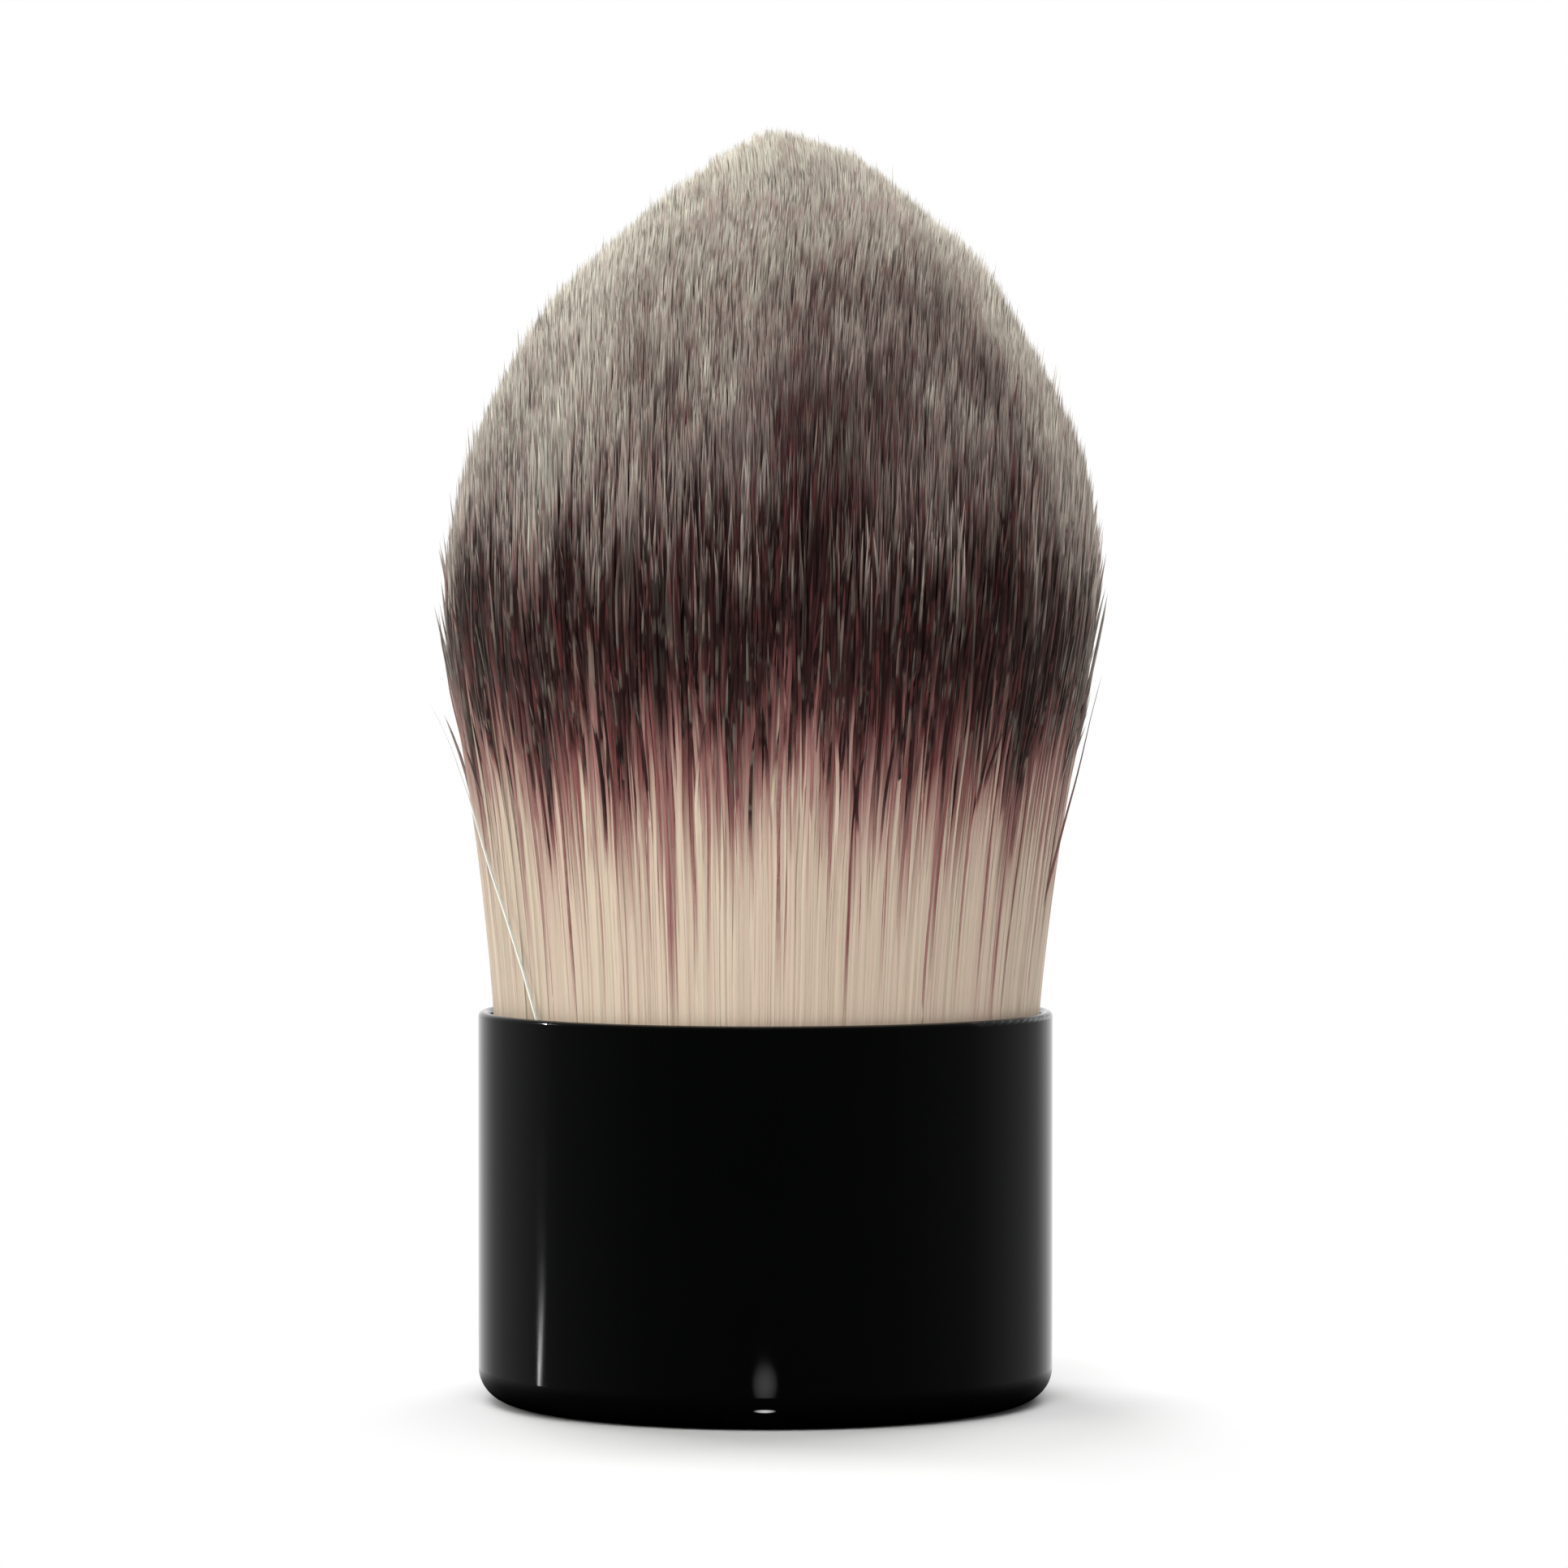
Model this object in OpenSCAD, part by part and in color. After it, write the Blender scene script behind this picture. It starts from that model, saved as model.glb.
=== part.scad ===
// Kabuki makeup brush: a short gloss handle shell with a weighted foot, and a pointed
// dome of dyed filaments whose roots are tied and glued into a cup inside the shell.
// The origin is the middle of the underside of the foot, and Z runs up the brush.

/* [Handle shell] */
// Outside diameter of the handle
handle_d = 31; // [27:0.5:38]
// Height of the handle, from its underside to its rim
handle_h = 21; // [19:0.5:45]
// Thickness of the handle's side wall
wall_t = 0.6; // [0.4:0.05:1]
// Thickness of the handle's floor
floor_t = 0.8; // [0.5:0.1:1.5]
// Radius of the rounded edge round the foot
foot_r = 1.8; // [1.2:0.1:2.5]

/* [Base weight] */
// Thickness of the weight that lies on the handle's floor
weight_t = 3; // [2.5:0.25:5]

/* [Knot cup] */
// Height of the cup that holds the roots of the filaments
cup_h = 9; // [7:0.5:10]
// Thickness of the cup's side wall
cup_wall_t = 0.8; // [0.6:0.1:1.2]
// Thickness of the cup's floor
cup_floor_t = 1; // [0.6:0.1:1.5]

/* [Glue and tie] */
// Thickness of the glue under the roots
glue_t = 1.2; // [0.6:0.1:1.5]
// Diameter of the thread that ties the knot
thread_d = 0.5; // [0.3:0.05:0.6]
// Number of rounds of thread in the tie
thread_rounds = 4; // [3:1:5]

/* [Bristle head] */
// Diameter of the head where it is widest
belly_d = 36; // [30:0.5:46]
// Height of the widest place above the rim
belly_up = 22.5; // [16:0.5:30]
// Height of the tip above the rim
tip_up = 47.2; // [36:0.2:60]
// How long the dome stays full on its way up, where more is fuller
dome_fullness = 1.9; // [1.4:0.1:2.6]
// How bluntly the dome closes at the tip, where less is blunter
dome_close = 0.75; // [0.6:0.05:1]
// Share by which the strands draw together between the belly and the tip
gather = 0.05; // [0:0.05:0.3]
// Height of the slice in which the roots are set solid
root_h = 3; // [2:0.25:4]

/* [Bristle strands] */
// Share of the room between strands that a strand fills
strand_fill = 0.86; // [0.6:0.02:0.9]
// Share of a strand's height over the belly at which it starts to taper
shoulder_share = 0.75; // [0.5:0.05:0.9]
// Depth to which a strand's foot reaches into the root slice
strand_sunk = 1; // [0.5:0.1:1.5]

/* [Clearances] */
// Gap round a piece that is pressed or glued into another
seat_gap = 0.05; // [0.03:0.01:0.1]
// Gap between the bundle and the mouth of the cup
mouth_gap = 0.1; // [0.05:0.05:0.2]
// Gap between the bundle and the inside of the handle's rim
rim_gap = 0.15; // [0.1:0.05:0.4]

/* [Hidden] */
$fn = 96;

// The shell
handle_r = handle_d / 2;
bore_r = handle_r - wall_t;
lip_r = wall_t / 2;
bore_corner_r = foot_r - wall_t;

// The pieces stacked in the shell, each on the one before
weight_z = floor_t;
cup_z = weight_z + weight_t;
cup_top_z = cup_z + cup_h;
glue_z = cup_z + cup_floor_t;
root_z = glue_z + glue_t;
root_top_z = root_z + root_h;
cup_r = bore_r - seat_gap;
cup_bore_r = cup_r - cup_wall_t;

// The bundle runs straight from its root, through the cup's mouth, to the handle's rim
rim_r = bore_r - rim_gap;
mouth_r = cup_bore_r - mouth_gap;
mouth_share = (cup_top_z - root_top_z) / (handle_h - root_top_z);
root_r = (mouth_r - rim_r * mouth_share) / (1 - mouth_share);

// The tie, which the bundle just fits at the tie's top
tie_h = thread_rounds * thread_d;
tie_bore_r = bundle_r(cup_top_z + tie_h) + seat_gap;

// The head
belly_r = belly_d / 2;
belly_z = handle_h + belly_up;
tip_z = handle_h + tip_up;

// The strands, of which each ring has six more than the ring inside it
ring_step = 6;
// Last ring of each group, from the core outwards, each group one ring thinner than the last
core_end = 4;
inner_end = core_end + 3;
middle_end = inner_end + 2;
outer_end = middle_end + 1;
ring_pitch = 1 / (outer_end + strand_fill / 2);
strand_sides = 3;
turn_on = 0.382;
solve_steps = 24;

// Radius at the root that ends a ring's room
function root_room_r(ring) = root_r * (ring + 0.5) * ring_pitch;

// Radius of the bundle's outside at a height
function bundle_r(z) =
    z < handle_h
        ? root_r + (rim_r - root_r) * (z - root_top_z) / (handle_h - root_top_z)
        : z < belly_z
            ? rim_r + (belly_r - rim_r) * (z - handle_h) / (belly_z - handle_h)
            : belly_r * (1 - gather * (z - belly_z) / (tip_z - belly_z));

// Share of the belly's radius that the dome has at a share of its own height
function dome_share(up) = pow(1 - pow(up, dome_fullness), dome_close);

// Share of the dome's height at which a strand meets its surface, found by halving
function meeting_share(share, low = 0, high = 1, steps = solve_steps) =
    let (middle = (low + high) / 2)
    steps == 0
        ? middle
        : share * (1 - gather * middle) < dome_share(middle)
            ? meeting_share(share, middle, high, steps - 1)
            : meeting_share(share, low, middle, steps - 1);

// Height of the tip of a strand
function strand_tip_z(share) = belly_z + (tip_z - belly_z) * meeting_share(share);

// Heights at which a strand has a cross-section
function strand_levels(share) = [
    root_top_z - strand_sunk,
    handle_h,
    belly_z,
    belly_z + shoulder_share * (strand_tip_z(share) - belly_z)
];

// Number of strands in a ring
function ring_count(ring) = max(1, ring_step * ring);

// Direction of a strand, where each ring is turned on, so that no gaps line up
function strand_turn(ring, i) = 360 * (i + ring * turn_on) / ring_count(ring);

// Corners of a strand's cross-section as shares of the bundle's radius, flat side out
function strand_section(ring) =
    let (
        deep = strand_fill * ring_pitch / 2,
        wide = ring == 0 ? deep : deep * 2 * PI / ring_step
    )
    [[-deep, 0], [deep, -wide], [deep, wide]];

// A point of the bundle, from its shares outwards and sideways, its direction and its height
function bundle_point(out, side, turn, z) =
    bundle_r(z) * [out * cos(turn) - side * sin(turn), out * sin(turn) + side * cos(turn), 0]
    + [0, 0, z];

// All points of one strand, from its root up, with the tip last
function strand_points(ring, turn) =
    let (share = ring * ring_pitch)
    concat(
        [
            for (z = strand_levels(share))
                for (corner = strand_section(ring))
                    bundle_point(share + corner[0], corner[1], turn, z)
        ],
        [bundle_point(share, 0, turn, strand_tip_z(share))]
    );

// The triangles of one strand, whose points start at a place in the list
function strand_faces(start) =
    let (
        levels = len(strand_levels(0)),
        top = start + (levels - 1) * strand_sides,
        tip = start + levels * strand_sides
    )
    concat(
        [[start, start + 1, start + 2]],
        [
            for (level = [0:levels - 2])
                for (side = [0:strand_sides - 1])
                    let (
                        low = start + level * strand_sides,
                        high = low + strand_sides,
                        next = (side + 1) % strand_sides
                    )
                    each [
                        [low + side, high + side, high + next],
                        [low + side, high + next, low + next]
                    ]
        ],
        [
            for (side = [0:strand_sides - 1])
                [top + side, tip, top + (side + 1) % strand_sides]
        ]
    );

// Half of a rounded cup's or disc's section, with a round lower corner
module cup_section(r, h, corner_r) {
    square([r - corner_r, h]);
    translate([0, corner_r])
        square([r, h - corner_r]);
    translate([r - corner_r, corner_r])
        circle(corner_r);
}

// The root slice of one group of rings, which stands on the glue
module root_slice(first_ring, last_ring) {
    translate([0, 0, root_z])
        difference() {
            cylinder(r = root_room_r(last_ring) - seat_gap / 2, h = root_h);
            if (first_ring > 0)
                translate([0, 0, -root_h])
                    cylinder(r = root_room_r(first_ring - 1) + seat_gap / 2, h = 3 * root_h);
        }
}

// The strands of one group of rings
module strands(first_ring, last_ring) {
    points = [
        for (ring = [first_ring:last_ring])
            for (i = [0:ring_count(ring) - 1])
                strand_points(ring, strand_turn(ring, i))
    ];
    per_strand = len(points[0]);
    polyhedron(
        points = [for (strand = points) each strand],
        faces = [for (i = [0:len(points) - 1]) each strand_faces(i * per_strand)]
    );
}

// One group of the bundle: strands fused to the slice that holds their roots
module bristle_group(first_ring, last_ring) {
    union() {
        root_slice(first_ring, last_ring);
        strands(first_ring, last_ring);
    }
}

// Drawn shell with a round foot and a round lip
module handle_shell() {
    color([0.02, 0.02, 0.022])
        rotate_extrude()
            union() {
                difference() {
                    cup_section(handle_r, handle_h - lip_r, foot_r);
                    translate([0, floor_t])
                        cup_section(bore_r, handle_h, bore_corner_r);
                }
                translate([handle_r - lip_r, handle_h - lip_r])
                    circle(lip_r);
            }
}

// Steel disc on the floor of the shell
module base_weight() {
    color([0.55, 0.56, 0.58])
        rotate_extrude()
            translate([0, weight_z])
                cup_section(bore_r - seat_gap, weight_t, bore_corner_r);
}

// Moulded cup on the weight
module knot_cup() {
    color([0.88, 0.88, 0.86])
        translate([0, 0, cup_z])
            difference() {
                cylinder(r = cup_r, h = cup_h);
                translate([0, 0, cup_floor_t])
                    cylinder(r = cup_bore_r, h = cup_h);
            }
}

// Glue under and round the roots
module glue_bed() {
    color([0.86, 0.74, 0.45])
        difference() {
            translate([0, 0, glue_z])
                cylinder(r = cup_bore_r - seat_gap, h = glue_t + root_h);
            translate([0, 0, root_z])
                cylinder(r = root_room_r(outer_end) + seat_gap / 2, h = 2 * root_h);
        }
}

// Band of tight rounds of thread that tie the bundle and stand on the cup's rim
module binding_thread() {
    color([0.93, 0.91, 0.84])
        translate([0, 0, cup_top_z])
            difference() {
                cylinder(r = tie_bore_r + thread_d, h = tie_h);
                translate([0, 0, -tie_h])
                    cylinder(r = tie_bore_r, h = 3 * tie_h);
            }
}

// Filaments in the middle of the head, which reach the tip of the dome
module bristle_core() {
    color([0.70, 0.66, 0.61])
        bristle_group(0, core_end);
}

// Filaments round the core
module bristle_inner_ring() {
    color([0.60, 0.54, 0.51])
        bristle_group(core_end + 1, inner_end);
}

// Filaments between the inner and the outer ones
module bristle_middle_ring() {
    color([0.47, 0.38, 0.36])
        bristle_group(inner_end + 1, middle_end);
}

// Filaments at the outside, which end low on the dome
module bristle_outer_ring() {
    color([0.36, 0.25, 0.24])
        bristle_group(middle_end + 1, outer_end);
}

handle_shell();
base_weight();
knot_cup();
glue_bed();
binding_thread();
bristle_core();
bristle_inner_ring();
bristle_middle_ring();
bristle_outer_ring();
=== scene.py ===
"""Kabuki makeup brush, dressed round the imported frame.

The handle keeps its CAD shape under black lacquer. The four bristle groups become a pointed dome of
filaments, each a tapered strand that is pale at its tip, dark below it and cream at its root.
Lengths are in millimetres until they reach Blender, unless a comment says otherwise.
"""

import math

import bpy
import numpy as np
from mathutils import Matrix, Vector
from mathutils.kdtree import KDTree


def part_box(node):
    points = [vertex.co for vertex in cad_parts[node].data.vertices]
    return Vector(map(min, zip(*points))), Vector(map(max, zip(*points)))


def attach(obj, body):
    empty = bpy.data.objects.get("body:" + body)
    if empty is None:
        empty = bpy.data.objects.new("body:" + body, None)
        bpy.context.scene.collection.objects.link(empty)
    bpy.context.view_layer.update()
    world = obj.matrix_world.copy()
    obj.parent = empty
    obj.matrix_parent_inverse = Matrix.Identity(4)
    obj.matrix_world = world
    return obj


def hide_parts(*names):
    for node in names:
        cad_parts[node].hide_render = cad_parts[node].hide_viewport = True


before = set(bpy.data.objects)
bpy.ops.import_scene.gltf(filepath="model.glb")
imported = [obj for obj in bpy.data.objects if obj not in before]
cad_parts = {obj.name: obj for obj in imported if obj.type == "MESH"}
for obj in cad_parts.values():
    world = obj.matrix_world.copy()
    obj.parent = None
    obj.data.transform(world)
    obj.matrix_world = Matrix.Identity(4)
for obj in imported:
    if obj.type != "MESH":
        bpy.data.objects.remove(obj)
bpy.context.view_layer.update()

MM = 0.001
BODY = "root"

# Sizes from the frame
_, shell_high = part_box("handle_shell")
_, core_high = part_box("bristle_core")
_, outer_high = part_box("bristle_outer_ring")
HANDLE_R = shell_high[0] / MM
RIM_Z = shell_high[2] / MM
BELLY_R = outer_high[0] / MM
TIP_Z = core_high[2] / MM

# The head's outline, as heights above the rim and radii. DOME cuts off the tips of BUNDLE
BELLY_Z = RIM_Z + 22.5
ROOT_Z = RIM_Z - 3.0
BUNDLE = (
    (-3.0, 14.5), (0.0, 14.6), (2.8, 14.86), (6.3, 15.26), (9.8, 15.73), (13.3, 16.27),
    (16.85, 16.9), (20.3, 17.38), (22.5, 17.5), (35.0, 17.95), (49.0, 18.5),
)
DOME = (
    (22.0, 17.9), (23.8, 17.62), (25.5, 17.45), (28.1, 17.0), (30.8, 16.32), (33.4, 15.17),
    (36.0, 13.7), (38.6, 11.93), (40.0, 10.85), (41.3, 9.6), (42.6, 8.05), (43.9, 6.5),
    (44.8, 5.4), (45.7, 4.35), (46.5, 3.8), (47.0, 3.3), (47.2, 0.0),
)
# How far the head leans to +X at heights above the rim
LEAN = (
    (0.0, 0.05), (12.0, 0.17), (20.0, 0.24), (33.0, 0.55), (38.0, 0.72), (41.0, 1.05),
    (44.0, 1.3), (47.0, 0.95),
)
# Steps over which a table is averaged, which rounds its corners
BLEND = (-0.6, -0.3, 0.0, 0.3, 0.6)
# Halvings in the search for the dome's height, and how far the normals turn upwards at the tip
HALVINGS = 30
NORMAL_RISE = math.pi / 3

# The filaments and their thickness. TAPER is how far from the tip a strand is thinner
FILAMENTS = 50000
FILAMENT_R = 0.082
THICKNESS = (0.8, 1.2)
ROOT_THICK = 1.4
TAPER = 2.5
TAPER_POWER = 0.7
TIP_SHARE = 0.4
GOLDEN_TURN = math.pi * (3 - math.sqrt(5))
ANGLE_STRAY = 0.002
SHARE_STRAY = 0.003
# The most that a share counts for where a share of one would be too much
NEARLY_ONE = 0.999
# Rings of a strand crowd towards its tip
LEVEL_POWER = 0.8
# The strand's own part in its shading, the rest being the bundle's
OWN_NORMAL = 0.25
MOST_TRIANGLES = 190000

# Each group: its name, the node it replaces, its inner and outer share of the bundle's radius,
# and its filaments' length, levels and seed
GROUPS = (
    ("bristles_core", "bristle_core", 0.0, 0.431, 8.0, 5, 11),
    ("bristles_inner", "bristle_inner_ring", 0.431, 0.719, 9.0, 5, 12),
    ("bristles_middle", "bristle_middle_ring", 0.719, 0.911, 12.0, 6, 13),
    ("bristles_outer_under", "bristle_outer_ring", 0.911, 0.955, 34.0, 13, 14),
    ("bristles_outer", "bristle_outer_ring", 0.955, 1.0, 36.0, 15, 15),
)

# Tips that end unevenly, and a part of them that ends short
TIP_WAVE = 0.2
TIP_UNEVEN = 0.12
SHORT_PART = 0.15
SHORT_DROP = (0.5, 3.0)

# Tufts of tips, which draw together and share a dye, and smaller wisps, which share a tone
CLUMPS = 2600
CLUMP_PULL = 0.25
CLUMP_DYE = 0.5
CLUMP_SEED = 4
WISPS = 6000
TONES = 512
TONE_BLUR = 0.2
LONE_PART = 0.2

# The outermost filaments: many end lower and stand out a little, and some of those more wildly
FLARE_FROM = 0.955
FLARE_PART = 0.65
FLARE_DROP = 5.0
DROP_MOST = 9.0
FLARE_MOST = 0.4
FLARE_LONG = 6.0
FLARE_ASIDE = 0.15
WILD_PART = 0.2
WILD_DROP = 11.0
WILD_MOST = 0.8
WILD_ASIDE = 0.35
# How tightly they pack into one layer, by height above the rim
PACK_UP = (0.0, 8.0, 20.0)
PACK_PART = (0.75, 0.65, 0.0)

# Sway that neighbours share, frizz of single tips, and a slow waver along each filament
SWAY = 0.28
SWAY_LONG = 14.0
FRIZZ = 0.13
FRIZZ_WILD = 0.45
FRIZZ_WILD_PART = 0.05
WAVER = 0.10
WAVER_LONG = 13.0
WAVER_STARTS = 3

# Smooth noise: its waves and their spread in size, then a seed and a size for each use
WAVES = 9
WAVE_SPREAD = (0.7, 1.6)
TIP_NOISE = (3, 5.0)
SWAY_NOISES = ((5, 7.0), (6, 7.0))
WIDE_DYE_NOISE = (8, 9.0)
FINE_DYE_NOISE = (9, 3.0)
TONGUE_NOISES = ((12, 2.4), (13, 5.0))
NARROW_TUFT_NOISE = (10, 1.5)
WIDE_TUFT_NOISE = (16, 4.0)
WIDE_PATCH_NOISE = (14, 2.6)
NARROW_PATCH_NOISE = (15, 1.2)

# Dye: how far a filament's colours are moved along it, which makes their edges uneven.
# A move for the pale end fades by DYE_FADES over DYE_SETTLES, and one for the cream end comes in.
# The powers are of the share, and a higher one keeps a move closer to the outside
DYE_SETTLES = 4.0
DYE_FADES = 0.5
TONGUE_POWER = 5
OUTER_POWER = 4
SKIN_POWER = 8
WIDE_DYE = 0.9
FINE_DYE = 0.6
TONGUE_DYE = 0.4
OUTER_DYE = 0.5
NARROW_TUFT_DYE = 1.1
WIDE_TUFT_DYE = 2.0
DROP_LOWER = 0.85
DROP_DYE = 0.9
DROP_DEEP = 2.0
BELT_SHARE = (0.978, 0.993)
BELT_DYE = (0.0, 0.9)
# Darker and paler areas of the photographed front, by x and by share of the radius
FRONT_FACING = 1.5
FRONT_X = (-17.0, -11.0, -9.3, -6.7, -3.6, 0.0, 3.0, 7.0, 10.0, 12.0, 14.0, 17.5)
FRONT_DYE = (0.2, -0.6, -1.2, 0.9, 2.0, 3.3, 3.5, 2.6, 2.2, 1.4, 0.9, 0.0)
FRONT_SHARE = (0.0, 0.54, 0.68, 0.775, 0.86, 0.925, 0.965, 1.0)
FRONT_PART = (0.0, 0.33, 0.45, 0.62, 0.78, 0.97, 0.85, 0.3)
RIGHT_X = (3.0, 8.0, 13.0)
RIGHT_DYE = (0.0, 1.0, 0.0)
RIGHT_SHARE = (0.4, 0.6, 0.8, 0.9, 1.0)
RIGHT_PART = (0.3, 1.0, 0.8, -0.1, -1.1)
# Painted backlight that pales both sides, and where the cream starts from the left side (-1) to the
# right (1)
PAINTED_BACKLIGHT_FACING = (-0.3, 0.0, 0.3, 0.45, 0.6)
PAINTED_BACKLIGHT = (0.0, 2.8, 2.4, 1.1, 0.0)
PAINTED_BACKLIGHT_SHARE = (0.25, 0.5)
DYE_SIDE = (-1.0, -0.5, 0.0, 0.5, 0.85, 1.0)
DYE_LOWER = (1.0, -0.4, 0.0, -0.8, -0.2, 1.2)
# Paler patches in the dark band
PATCH_TALL = 2.5
PATCH_EDGE = 1.2
PATCH_LEVEL = 0.08
PATCH_NARROW = 0.7
PATCH_ALONG = (1.0, 3.0, 5.5, 8.0)
PATCH_PART = (0.0, 0.5, 0.42, 0.0)
# The far end of the dye's scale, and the bake map's margin at both ends of that scale.
# MAP_ASIDE is how far a strand's sides lie from its tone there, as a part of a tone's column
LONGEST = 40.0
MAP_EDGE = 0.002
MAP_ASIDE = 0.35

# Colours, as the eight-bit numbers that a picture shows. A filament falls between the two of a pair,
# and the number before them is the seed that decides where
PALE_HUES = (2.7, (204, 207, 188), (190, 177, 167))
# Pale ends, duller towards the bundle's outside
DULLER_PALE_HUES = (2.2, (176, 175, 161), (159, 139, 134))
DUSK_HUES = (2.5, (140, 133, 124), (122, 102, 98))
MID_HUES = (3.1, (116, 108, 100), (98, 74, 73))
DARK_HUES = (4.9, (50, 25, 25), (27, 12, 12))
STROKE_HUES = (3.9, (66, 42, 44), (46, 48, 41))
MAROON_HUES = (8.9, (112, 54, 54), (150, 106, 102))
CREAM_HUES = (7.7, (198, 183, 162), (194, 171, 155))
RED_FLECK = (98, 44, 46)
GREY_FLECK = (120, 113, 102)
# The loose hair's near-white colours: its pale dye with its highlight painted in
LOOSE_HIGHLIT = (252, 252, 244)
LOOSE_HIGHLIT_DIM = (232, 231, 220)

# The pale end's length inside the bundle, where it doubles towards the middle, and at the outside,
# and how much it varies. A higher power keeps a change closer to the outside or to the middle
PALE_END_IN = 4.0
PALE_END_OUT = 1.6
PALE_END_SPREAD = (0.62, 1.55)
PALE_END_SEED = 1.3
OUTSIDE_POWER = 24.0
MIDDLE_POWER = 2.0
DULLER_PALE_POWER = 2.0
# Where mid tone is full and where dark starts and is full, in parts of the pale end
MID_FULL = 0.5
DARK_FROM = 0.4
DARK_FULL = 1.0
# Distance from the tip where dark ends, how much sooner maroon and how much later cream starts,
# how long both take, and how much farther down a few long streaks put the cream off
DARK_END = (6.7, 12.3)
DARK_END_SEED = 6.1
MAROON_SOONER = 1.4
MAROON_LONG = 3.9
CREAM_LATER = 1.48
CREAM_LONG = 5.92
STREAK_FARTHER = 10.0
STREAK_POWER = 8.0
STREAK_SEED = 5.3
# The filaments' roughness, and how far apart tones lie in the random numbers and the flecks' noise
FILAMENT_ROUGH = (0.38, 0.55)
ROUGH_SEED = 9.9
RANDOM_STEP = 91.7
FLECK_STEP = 3.7

# Flecks: seed, length, and the noise levels from which they show and at which they are full
RED_NOISE = (50.0, 1.5, 0.56, 0.66)
GREY_NOISE = (90.0, 1.8, 0.6, 0.7)
LIGHT_NOISE = (0.0, 1.3, 0.34, 0.66)
STROKE_NOISE = (20.0, 1.1, 0.6, 0.66)
FLECK_PART = 0.45
STROKE_PART = 0.6
LIGHT_SPREAD = (0.78, 1.2)
FLECK_GROWS = 5.0

# The grain of hidden finishes: its noise, its part in the roughness, and its bump's strength and
# distance, which is in metres
GRAIN_SCALE = 400
GRAIN_DETAIL = 3
GRAIN_ROUGH = 0.06
GRAIN_BUMP = (0.15, 0.00003)

# The dense body under the filaments: its depth under the dome, and how far it lies inside the bundle
MASS_DEPTH = 3.5
MASS_Z = (RIM_Z, RIM_Z + 9, RIM_Z + 15, BELLY_Z)
MASS_UNDER = (0.05, 0.08, 0.3, 0.9)
MASS_CLOSE = 0.97
MASS_LEVELS = (14, 16)
MASS_TONE = 0.5
MASS_SHARE = 0.95

# The photograph's view, in metres, degrees and its own pixels
PHOTO_SIZE = 1932
CAMERA_FAR = 0.340
CAMERA_HIGH = 0.040
CAMERA_SIDE = 0.001
CAMERA_DOWN = 1.145
CAMERA_FOCUS = 7763
# Width of the camera's sensor, in millimetres
SENSOR = 36

# Stray hairs: y at the root and the tip, distance from the tip whose dye they show there,
# and photo pixels from the root to the tip
STRAY_R = 0.09
STRAY_LEVELS = 14
STRAY_TAPER = 10
STRAY_THIN = 0.2
PALE_STRAYS = (
    (
        (-9.0, -5.0), (10.0, 0.0),
        ((662, 1262), (645, 1200), (620, 1120), (600, 1060), (580, 990), (550, 905), (527, 862)),
    ),
)
DARK_STRAYS = (
    (
        (-4.0, -3.0), (14.0, 5.0),
        ((1270, 1170), (1292, 1090), (1310, 1020), (1329, 950), (1345, 880), (1358, 830)),
    ),
    (
        (-4.0, -3.0), (12.0, 5.0),
        ((600, 1010), (574, 930), (556, 860), (547, 805), (540, 750)),
    ),
)

# Lamps: name, place and size in metres, watts, colour, and the rays that see them
WHITE = (1.0, 1.0, 1.0)
LAMP_AIM = (0, 0, 0.03)
LAMPS = (
    ("key", (-0.60, -0.30, 0.35), (0.45, 0.45), 2.55, (0.94, 1.0, 0.92), "diffuse"),
    ("front", (-0.02, -0.45, 0.55), (0.4, 0.4), 3.3, WHITE, "diffuse"),
    ("rim sheen", (-0.02, -0.45, 0.55), (0.04, 0.3), 0.3, WHITE, "glossy"),
    ("rim glint", (-0.4968, 0.1519, 0.30), (0.012, 0.012), 0.9, WHITE, "glossy"),
    ("back left", (-0.28, 0.42, 0.50), (0.4, 0.4), 4.7, WHITE, "diffuse"),
    ("back right", (0.30, 0.40, 0.46), (0.4, 0.4), 3.5, WHITE, "diffuse"),
)
WORLD_LEVEL = 0.5
# What gloss reflects: places from the front (0) to the back (1), and how bright they look
SURROUND = (
    (0.0, 0.01), (0.16, 0.025), (0.5, 0.07), (0.67, 0.15), (0.815, 0.205),
    (0.877, 0.275), (0.91, 0.40), (0.944, 0.6), (0.978, 0.85), (1.0, 1.0),
)

# The floor: how far it reaches, in metres, its tone, with a painted shadow that deepens it by the foot,
# and how far from the axis it dims what gloss reflects, which paints shade into that reflection
FLOOR_REACH = 4.0
PAPER = (0.605, 0.625)
FOOT_PAINTED_SHADOW = 0.53
FOOT_FROM = HANDLE_R - 1
FOOT_REACH = HANDLE_R + 20
DIM_REACH = HANDLE_R + 9
# The oval outside which the floor is plain white, and the part of it where the white starts
SHADOW_X = 28
SHADOW_Y = 52
SHADOW_ASIDE = 3
SHADOW_INNER = 0.55

# Bright places on the floor: y, half width as seen in the handle, half depth, and strength
GLOW_PATCHES = ((-37.5, 0.7, 10.5, 1.15), (-16.2, 0.62, 0.32, 14.0))

# The strip lamp's place, as slopes from the left, then its lean, widths, height, soft end and light
STRIP_TURN = 0.2335
STRIP_LOW = -0.1215
STRIP_SLANT = 4.0
STRIP_HALF = 0.009
STRIP_WIDEN = 0.9
STRIP_TALL = 0.0275
STRIP_SOFT = 0.004
STRIP_FALL = 3.6
STRIP_STRENGTH = 68.0


def along_table(table, z):
    """A value from a table of heights above the rim, with its corners rounded."""
    heights, values = zip(*table)
    return sum(np.interp(z - RIM_Z + step, heights, values) for step in BLEND) / len(BLEND)


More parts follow.
